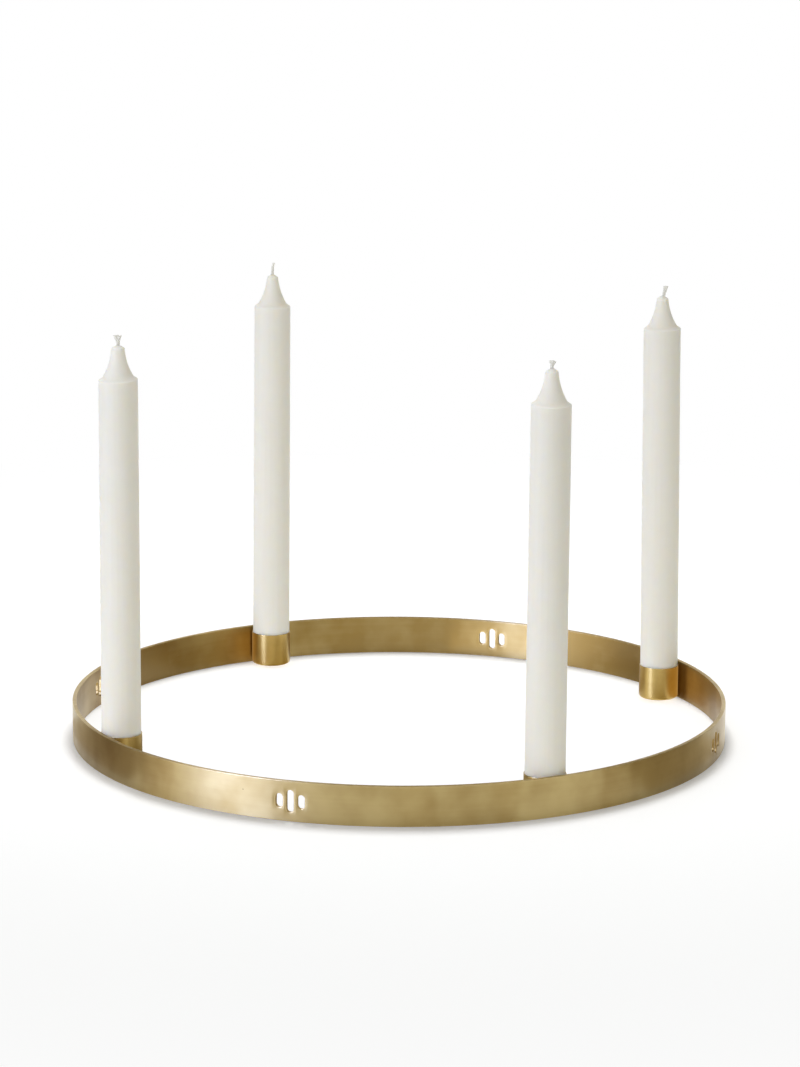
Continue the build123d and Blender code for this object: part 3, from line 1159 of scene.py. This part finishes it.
# %% Build the hoop
def new_piece(mesh, material, body, replaced, matrix=None):
    """A piece of the object, named like its mesh. It rides on a CAD body and stands for the CAD nodes that
    it replaces."""
    piece = bpy.data.objects.new(mesh.name, mesh)
    scene.collection.objects.link(piece)
    mesh.materials.append(material)
    if matrix is not None:
        piece.matrix_world = matrix
    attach(piece, body)
    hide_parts(*replaced)
    print(f"{piece.name}: {len(mesh.polygons)} faces")
    return piece


def keep_faces_flat(piece):
    """Lets large faces decide the normals, so an eased edge doesn't shade the face beside it."""
    piece.modifiers.new("flat_faces_stay_flat", "WEIGHTED_NORMAL").keep_sharp = False


patchwork = Patchwork()
for quarter in range(4):
    group_middle = quarter * QUARTER
    strip_patches(patchwork, group_middle)
    rim_patches(patchwork, group_middle)
    for offset, length in SLOTS:
        slot_patches(patchwork, group_middle + offset, length)
hoop_mesh = patchwork.finish("brass_hoop")
hoop = new_piece(hoop_mesh, band_brass, "holder", ["ring_band"])
keep_faces_flat(hoop)
table_shade = bpy.data.collections.new("table_shade")
table_shade.objects.link(hoop)
table_light.light_linking.blocker_collection = table_shade

# %% [markdown]
# The brass material asks the mesh for three numbers at each point: how near an edge it is, how far inside
# the band, and whether it lies on a slot's wall. The material browns the inside as painted shade, and on
# the slot walls it mixes in a colour that is partly cut brass and partly painted amber bounce light. An
# edge is where two of the surfaces meet, so the distance to the second nearest surface says how near it is.

# %% Where the hoop is rubbed, cut and painted with shade and bounce light
EDGE_REACH = 0.5 * MM
WALL_STARTS = 0.25 * MM
WALL_EASE = 0.35 * MM
WALL_MARGIN = 0.1 * MM
CUT_AND_BOUNCE_SHARE = 0.8


def nearness(distances, reach):
    """1 at no distance, falling towards 0 over a few times the reach."""
    return np.exp(-np.asarray(distances) / reach)


at = np.array([vertex.co[:] for vertex in hoop_mesh.vertices])
reach = np.hypot(at[:, 0], at[:, 1])
to_rim = np.minimum(at[:, 2], BAND_HEIGHT - at[:, 2])
to_face = np.minimum(OUTER_RADIUS - reach, reach - INNER_RADIUS)
to_slot = slot_clearance(np.arctan2(at[:, 1], at[:, 0]) * MIDDLE_RADIUS, at[:, 2])
to_edge = np.sort([to_rim, to_face, np.maximum(to_slot, 0)], axis=0)[1]
deep = np.clip((to_face - WALL_STARTS) / WALL_EASE, 0, 1)
on_wall = to_slot < WALL_MARGIN
store(hoop_mesh, "edge", nearness(to_edge, EDGE_REACH))
# the material browns points by this share, as painted shade for the inside of the hoop
store(hoop_mesh, "inside", (OUTER_RADIUS - reach) / (OUTER_RADIUS - INNER_RADIUS))
# these points get cut brass with painted amber bounce light, and no lacquer
store(hoop_mesh, "recess", CUT_AND_BOUNCE_SHARE * deep * on_wall)
print("points on slot walls:", int(np.count_nonzero(deep * on_wall)))

# %% [markdown]
# ## Turned shapes
#
# Cups and candles are round, so one half of their outline says it all. A line of corners is rounded by
# its own radius at each corner, long straight stretches are divided, and the line is turned round Z.
# Blender's Screw modifier would do the turning too, but points made in code can carry attributes and be
# moved afterwards.


# %% Outline helpers
def eased(corners, steps=EASE_STEPS):
    """Points along corners given as (radius, height, ease), each rounded by its ease."""
    line = []
    for index, (x, y, ease) in enumerate(corners):
        here = Vector((x, y))
        if ease == 0:
            line.append(here)
            continue
        before = (Vector(corners[index - 1][:2]) - here).normalized()
        after = (Vector(corners[index + 1][:2]) - here).normalized()
        half_angle = before.angle(after) / 2
        middle = here + (before + after).normalized() * (ease / math.sin(half_angle))
        setback = ease / math.tan(half_angle)
        first, last = here + before * setback - middle, here + after * setback - middle
        sweep = first.angle(last)
        for share in np.linspace(0, 1, steps + 1):
            swung = first * math.sin((1 - share) * sweep) + last * math.sin(share * sweep)
            line.append(middle + swung / math.sin(sweep))
    return line


def divided(line, longest):
    """The same line with long stretches divided evenly."""
    points = [line[0]]
    for start, end in zip(line, line[1:]):
        parts = max(1, math.ceil((end - start).length / longest))
        points += [start.lerp(end, (part + 1) / parts) for part in range(parts)]
    return points


def bowed(start, end, rise, steps):
    """Points between two others on a shallow curve that stands off to the left of the way by rise."""
    chord = Vector(end) - Vector(start)
    left = Vector((-chord.y, chord.x)).normalized()
    shares = np.linspace(0, 1, steps + 1)[1:-1]
    curve = [Vector(start) + chord * share + left * (4 * rise * share * (1 - share)) for share in shares]
    return [(point.x, point.y, 0) for point in curve]


def turned(name, line, turns):
    """A mesh from a line of (radius, height) points turned round Z."""
    shape = bmesh.new()
    angles = [2 * math.pi * turn / turns for turn in range(turns)]
    rings = []
    for radius, height in line:
        around = angles if radius > 0 else [0.0]
        ring = [(radius * math.cos(angle), radius * math.sin(angle), height) for angle in around]
        rings.append([shape.verts.new(point) for point in ring])
    for low, high in zip(rings, rings[1:]):
        for turn in range(turns):
            after = (turn + 1) % turns
            lower = (low[turn % len(low)], low[after % len(low)])
            upper = (high[after % len(high)], high[turn % len(high)])
            shape.faces.new(dict.fromkeys(lower + upper))
    bmesh.ops.recalc_face_normals(shape, faces=shape.faces)
    mesh = bpy.data.meshes.new(name)
    shape.to_mesh(mesh)
    shape.free()
    mesh.shade_smooth()
    return mesh


print("points on an eased corner:", EASE_STEPS + 1)

# %% [markdown]
# ## The cups
#
# A cup is drawn from a disc of thin sheet, which leaves a rounded bottom edge, a rounded inside corner and
# a thin rim. A cylinder with a Solidify modifier would be sharp everywhere. Each cup's mesh stands on its
# own origin, so that the brush marks run round its own axis.

# %% Cups
CUP_TURNS = 144
CUP_BOTTOM_EASE = 1.5 * MM
CUP_RIM_EASE = 0.12 * MM
CUP_RIM_WEAR = 0.35 * MM
CUP_ROW = 1.2 * MM


def cup_mesh(place):
    """A drawn cup with its origin on its axis, at the height of its underside."""
    rim = place.rim_middle.z - place.cup_base
    floor = place.cup_floor - place.cup_base
    wall = place.cup_radius - place.bore_radius
    corners = [
        (0, 0, 0),
        (place.cup_radius, 0, CUP_BOTTOM_EASE),
        (place.cup_radius, rim, CUP_RIM_EASE),
        (place.bore_radius, rim, CUP_RIM_EASE),
        (place.bore_radius, floor, CUP_BOTTOM_EASE - wall),
        (0, floor, 0),
    ]
    mesh = turned(f"brass_cup_{place.number}", divided(eased(corners), CUP_ROW), CUP_TURNS)
    store(mesh, "edge", nearness([rim - vertex.co.z for vertex in mesh.vertices], CUP_RIM_WEAR))
    return mesh


for place in places:
    replaced = [f"candle_cup_{place.number}"]
    standing = Matrix.Translation((place.rim_middle.x, place.rim_middle.y, place.cup_base))
    cup = new_piece(cup_mesh(place), cup_brass, "holder", replaced, standing)
    keep_faces_flat(cup)

# %% [markdown]
# ## The candles
#
# A crown candle is cast: its top is a lip, a hollow cone and a small dome round the wick. No two are
# quite alike. One lip is clearly tilted, and on each candle the wax has crept up the wick more on one
# side than on the other. Sculpting could do that, but here a few numbers for each candle do, so they can
# be read and changed. A candle's own X axis points to the picture's right, and a wick's bend is given as
# it is seen there.


# %% What differs between the candles
@dataclass
class CandleTop:
    """One candle's top. Lip tilt in degrees, up to the right; sizes in millimetres; sides in degrees
    from X. The neck is the radius where the crown meets the dome. A strand's radius grows from strand to
    strand_tip. The strands part after a share of their length, and a large hook bends them late."""

    lip_tilt: float
    neck: float
    collar_height: float
    collar_side: float
    wick_base: float
    strand_ends: tuple
    strand: float
    strand_tip: float
    loosens: float
    hook: float


TOPS = {
    1: CandleTop(
        lip_tilt=0.5, neck=3.4, collar_height=1.0, collar_side=180, wick_base=0.45,
        strand_ends=((1.35, -0.1, 6.3), (1.87, 0.2, 6.4), (2.4, 0.0, 6.2)),
        strand=0.62, strand_tip=0.98, loosens=0.1, hook=1.0,
    ),
    2: CandleTop(
        lip_tilt=-0.4, neck=3.4, collar_height=1.5, collar_side=180, wick_base=-0.1,
        strand_ends=((0.35, 0.1, 7.8), (0.75, -0.1, 7.7), (1.15, 0.0, 7.2)),
        strand=0.62, strand_tip=0.64, loosens=0.8, hook=4.0,
    ),
    3: CandleTop(
        lip_tilt=2.4, neck=3.7, collar_height=0.9, collar_side=200, wick_base=0.15,
        strand_ends=((-1.55, -0.1, 5.9), (-0.2, 0.2, 6.0), (1.15, 0.0, 5.8)),
        strand=0.72, strand_tip=1.05, loosens=0.22, hook=1.0,
    ),
    4: CandleTop(
        lip_tilt=-0.6, neck=3.55, collar_height=1.4, collar_side=0, wick_base=-0.25,
        strand_ends=((-0.75, 0.1, 4.8), (0.25, -0.2, 4.9), (1.2, 0.0, 4.4)),
        strand=0.62, strand_tip=1.0, loosens=0.26, hook=1.0,
    ),
}
largest_tilt = max(top.lip_tilt for top in TOPS.values())
print("tops:", len(TOPS), "with lips tilted by up to", largest_tilt, "degrees")

# %% [markdown]
# The outline starts in the wick's hole and ends on the dome. The hole comes up from the foot and ends
# 14 mm below the top. Above that the wax closes round the wick, as it does on a real candle.

# %% Candle outline
WAX_TURNS = 96
WAX_ROW = 5 * MM
WICK_RADIUS = 0.9 * MM
SEALED_DEPTH = 14 * MM
BODY_TAPER = 0.3 * MM
FOOT_TAPER = 0.4 * MM
FOOT_CHAMFER = 1.2 * MM
FOOT_EASE_LOW = 0.3 * MM
FOOT_EASE_HIGH = 0.5 * MM
CROWN_HEIGHT = 18.6 * MM
CROWN_STEPS = 12
LIP_WIDTH = 2.3 * MM
LIP_RISE = 1.6 * MM
LIP_EASE = 0.45 * MM
LIP_HOLLOW_EASE = 2.6 * MM
CROWN_HOLLOW = 1.0 * MM
NECK_EASE = 1.0 * MM
DOME_HEIGHT = 1.2 * MM
DOME_BULGE = 0.45 * MM
DOME_STEPS = 9


def candle_line(place, top):
    """Half of the candle's outline: down the wick's hole, round the foot and up to the top of the dome."""
    radius = place.wax_radius
    shoulder = place.wax_length - CROWN_HEIGHT
    rim_depth = (place.rim_middle - place.foot).length
    lip_inner = (radius - BODY_TAPER - LIP_WIDTH, shoulder + LIP_RISE)
    neck = (top.neck * MM, place.wax_length - DOME_HEIGHT)
    dome_top = (0, place.wax_length)
    sealed = place.wax_length - SEALED_DEPTH
    corners = [
        (0, sealed, 0),
        (WICK_RADIUS, sealed, 0),
        (WICK_RADIUS, 0, 0),
        (radius - FOOT_TAPER - FOOT_CHAMFER, 0, FOOT_EASE_LOW),
        (radius - FOOT_TAPER, FOOT_CHAMFER, FOOT_EASE_HIGH),
        (radius, rim_depth, 0),
        (radius - BODY_TAPER, shoulder, LIP_EASE),
        (*lip_inner, LIP_HOLLOW_EASE),
        *bowed(lip_inner, neck, CROWN_HOLLOW, CROWN_STEPS),
        (*neck, NECK_EASE),
        *bowed(neck, dome_top, -DOME_BULGE, DOME_STEPS),
        (*dome_top, 0),
    ]
    return divided(eased(corners), WAX_ROW)


print("points on a candle's outline:", len(candle_line(places[0], TOPS[1])))

# %% [markdown]
# Then the points are moved: the lip is tilted, the wax is drawn up round the wick and a seeded noise
# makes the whole uneven by a few hundredths of a millimetre, which is enough to stop its highlights from
# being ruled lines.

# %% Uneven wax
UNEVEN = 0.05 * MM
UNEVEN_SIZE = 21 * MM
UNEVEN_SEED = Vector((7.3, 2.9, 5.1))
HOLE_MARGIN = 1.01
COLLAR_RADIUS = 0.7 * MM
COLLAR_REACH = 0.85 * MM
TILT_BELOW = 14 * MM
TILT_ABOVE = 10 * MM


def smooth_step(value):
    """0 up to 0, 1 from 1 on, and a smooth rise between."""
    value = min(1.0, max(0.0, value))
    return value * value * (3 - 2 * value)


def shape_top(mesh, place, top):
    """Tilts the lip, draws the wax up the wick and makes the whole slightly uneven."""
    shoulder = place.wax_length - CROWN_HEIGHT
    collar_side = math.radians(top.collar_side)
    seed = UNEVEN_SEED * place.number
    for vertex in mesh.vertices:
        x, y, z = vertex.co
        reach = math.hypot(x, y)
        if reach > WICK_RADIUS * HOLE_MARGIN:
            push = noise.noise(vertex.co / UNEVEN_SIZE + seed) * UNEVEN
            vertex.co += Vector((x, y, 0)) / reach * push
        below = smooth_step((z - shoulder + TILT_BELOW) / TILT_BELOW)
        above = smooth_step((shoulder + TILT_ABOVE - z) / TILT_ABOVE)
        vertex.co.z += math.tan(math.radians(top.lip_tilt)) * x * below * above
        if z > place.wax_length - DOME_HEIGHT and reach < top.neck * MM:
            facing = 0.5 + 0.5 * math.cos(math.atan2(y, x) - collar_side)
            creep = top.collar_height * MM * (0.5 + 0.5 * facing * facing)
            near_wick = min(1.0, math.exp((COLLAR_RADIUS - reach) / COLLAR_REACH))
            vertex.co += Vector((top.wick_base * MM * near_wick, 0, creep * near_wick))


print(f"wax is uneven by {UNEVEN / MM} mm over {UNEVEN_SIZE / MM:.0f} mm")

# %% [markdown]
# The turned and moved meshes become four candles, each on its own body, so that each can be lifted by
# itself. Only the corners at the wick's hole stay sharp.

# %% Candles
SHARP_CORNER = math.radians(60)


def candle_matrix(place):
    """The candle's own frame: origin at its foot, Z up its axis and X to the picture's right."""
    z_axis = place.axis
    y_axis = z_axis.cross(studio_way(90)).normalized()
    x_axis = y_axis.cross(z_axis)
    return Matrix.Translation(place.foot) @ Matrix((x_axis, y_axis, z_axis)).transposed().to_4x4()


for place in places:
    wax_mesh = turned(f"wax_candle_{place.number}", candle_line(place, TOPS[place.number]), WAX_TURNS)
    shape_top(wax_mesh, place, TOPS[place.number])
    wax_mesh.set_sharp_from_angle(angle=SHARP_CORNER)
    body = f"candle_{place.number}_body"
    new_piece(wax_mesh, candle_wax, body, [f"candle_{place.number}"], candle_matrix(place))

# %% [markdown]
# ## The wicks
#
# A wick is a flat braid of cotton strands that has soaked up wax. Its free end was cut, and the strands
# lean, hook or spread there. Curves with a bevel could be the strands, but they would stay three clean
# tubes. Here three tubes follow the braid's formula and then part towards their own ends. A fine voxel
# remesh melts them together and a little smoothing rounds the grooves, as wax does.

# %% Strands
BRAID_PITCH = 5.6 * MM
BRAID_WIDTH = 0.31 * MM
BRAID_DEPTH = 0.18 * MM
STRAND_STEPS = 40
ROOT_DEPTH = 1.5 * MM
PLY_COUNT = 3
PLY_TWIST = 0.5


def tube(shape, path, radii, sides, ply_depth=0.0, flat=1.0):
    """A closed tube along a path, with as many twisted ridges as a strand has plies."""
    rings = []
    for step, (point, radius) in enumerate(zip(path, radii)):
        ring = []
        for side in range(sides):
            angle = 2 * math.pi * side / sides
            ridge = 1 + ply_depth * math.cos(PLY_COUNT * angle + PLY_TWIST * step)
            offset = Vector((math.cos(angle), math.sin(angle) * flat, 0)) * (radius * ridge)
            ring.append(shape.verts.new(point + offset))
        rings.append(ring)
    for low, high in zip(rings, rings[1:]):
        for side in range(sides):
            after = (side + 1) % sides
            shape.faces.new((low[side], low[after], high[after], high[side]))
    shape.faces.new(reversed(rings[0]))
    shape.faces.new(rings[-1])


def strand_path(top, strand, wax_length):
    """One strand's points: braided with its neighbours at first, then parting towards its own end."""
    end = Vector(top.strand_ends[strand]) * MM
    phase = 2 * math.pi * strand / len(top.strand_ends)
    root = Vector((top.wick_base * MM, 0, 0))
    middle = sum((Vector(tip) for tip in top.strand_ends), Vector()) * (MM / len(top.strand_ends))
    points = []
    for share in np.linspace(-ROOT_DEPTH / end.z, 1, STRAND_STEPS + 1):
        turn = 2 * math.pi * share * end.z / BRAID_PITCH + phase
        braid = Vector((BRAID_WIDTH * math.sin(turn), BRAID_DEPTH * math.sin(2 * turn), 0))
        loose = smooth_step((share - top.loosens) / (1 - top.loosens))
        lean = max(share, 0.0) ** top.hook
        trunk = root.lerp(Vector((middle.x, middle.y, 0)), lean) + braid
        parted = root.lerp(Vector((end.x, end.y, 0)), lean)
        points.append(trunk.lerp(parted, loose) + Vector((0, 0, wax_length + share * end.z)))
    return points


print("strands in a wick:", len(TOPS[1].strand_ends))

# %% [markdown]
# A remesh is a modifier, and its result is taken as a plain mesh. Loose fibres at the cut and the core
# that runs down through the wax are added to it afterwards, because fine voxels would eat the one and be
# wasted on the other.

# %% Wicks
WICK_VOXEL = 0.10 * MM
SOFTEN_ROUNDS = 9
SOFTEN_SHARE = 0.5
STRAND_SIDES = 12
STRAND_FLATNESS = 0.85
PLY_DEPTH = 0.07
FIBRES = 2
FIBRE_RADIUS = 0.035 * MM
FIBRE_SIDES = 5
FIBRE_SHARES = (0, 0.4, 0.75, 1)
FIBRE_ROOT = 0.3 * MM
FIBRE_DROOP = 0.2 * MM
CORE_SIDES = 24
CORE_RADIUS = WICK_RADIUS * 0.995


def melted(shape, name):
    """The strands as one waxed form: remeshed to fine voxels and smoothed."""
    mesh = bpy.data.meshes.new(name)
    shape.to_mesh(mesh)
    shape.free()
    strands = bpy.data.objects.new(name, mesh)
    scene.collection.objects.link(strands)
    remesh = strands.modifiers.new("melt", "REMESH")
    remesh.mode = "VOXEL"
    remesh.voxel_size = WICK_VOXEL
    smooth = strands.modifiers.new("soften", "SMOOTH")
    smooth.iterations = SOFTEN_ROUNDS
    smooth.factor = SOFTEN_SHARE
    bpy.context.view_layer.update()
    made = bpy.data.meshes.new_from_object(strands.evaluated_get(bpy.context.evaluated_depsgraph_get()))
    bpy.data.objects.remove(strands)
    bpy.data.meshes.remove(mesh)
    return made


def loose_fibres(shape, top, wax_length, draw):
    """Short hairs that stand out of the cut ends of the strands."""
    for end in top.strand_ends:
        cut = Vector(end) * MM + Vector((0, 0, wax_length))
        for _ in range(FIBRES):
            spread = Vector((draw.uniform(-1, 1), draw.uniform(-0.6, 0.6), 0)) * top.strand_tip * MM
            way = spread * draw.uniform(0.3, 0.9) + Vector((0, 0, draw.uniform(0.25, 0.7) * MM))
            start = cut + spread * 0.8 - Vector((0, 0, FIBRE_ROOT))
            path = [start + way * t - Vector((0, 0, FIBRE_DROOP * t * t)) for t in FIBRE_SHARES]
            tube(shape, path, [FIBRE_RADIUS * (1 - 0.5 * t) for t in FIBRE_SHARES], FIBRE_SIDES)


def wick_mesh(place, top):
    """A whole wick in its candle's frame: the core, the waxed braid and the loose fibres."""
    braid = bmesh.new()
    for strand in range(len(top.strand_ends)):
        path = strand_path(top, strand, place.wax_length)
        shares = np.linspace(0, 1, len(path))
        spread = [smooth_step((share - top.loosens) / (1 - top.loosens)) for share in shares]
        radii = [(top.strand + (top.strand_tip - top.strand) * share) * MM for share in spread]
        tube(braid, path, radii, STRAND_SIDES, PLY_DEPTH, STRAND_FLATNESS)
    wick = bmesh.new()
    wick.from_mesh(melted(braid, f"braid_{place.number}"))
    core_heights = (0, place.wax_length / 2, place.wax_length - ROOT_DEPTH / 2)
    core = [Vector((0, 0, height)) for height in core_heights]
    tube(wick, core, [CORE_RADIUS] * len(core), CORE_SIDES)
    loose_fibres(wick, top, place.wax_length, random.Random(place.number))
    mesh = bpy.data.meshes.new(f"cotton_wick_{place.number}")
    wick.to_mesh(mesh)
    wick.free()
    mesh.shade_smooth()
    return mesh


for place in places:
    mesh = wick_mesh(place, TOPS[place.number])
    body = f"candle_{place.number}_body"
    new_piece(mesh, wick_cotton, body, [f"wick_{place.number}"], candle_matrix(place))

# %% [markdown]
# ## Last look at the sizes
#
# The dressed object must fill the same box as the CAD model. The CAD box was printed at the start, and
# the last line prints how much the dressed object's box differs from it.

# %% Compare the boxes and finish
visual_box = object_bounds()
growth = [(visual_box[1][i] - visual_box[0][i]) - (cad_box[1][i] - cad_box[0][i]) for i in range(3)]
print("visual box minus CAD box, mm:", [round(x / MM, 2) for x in growth])
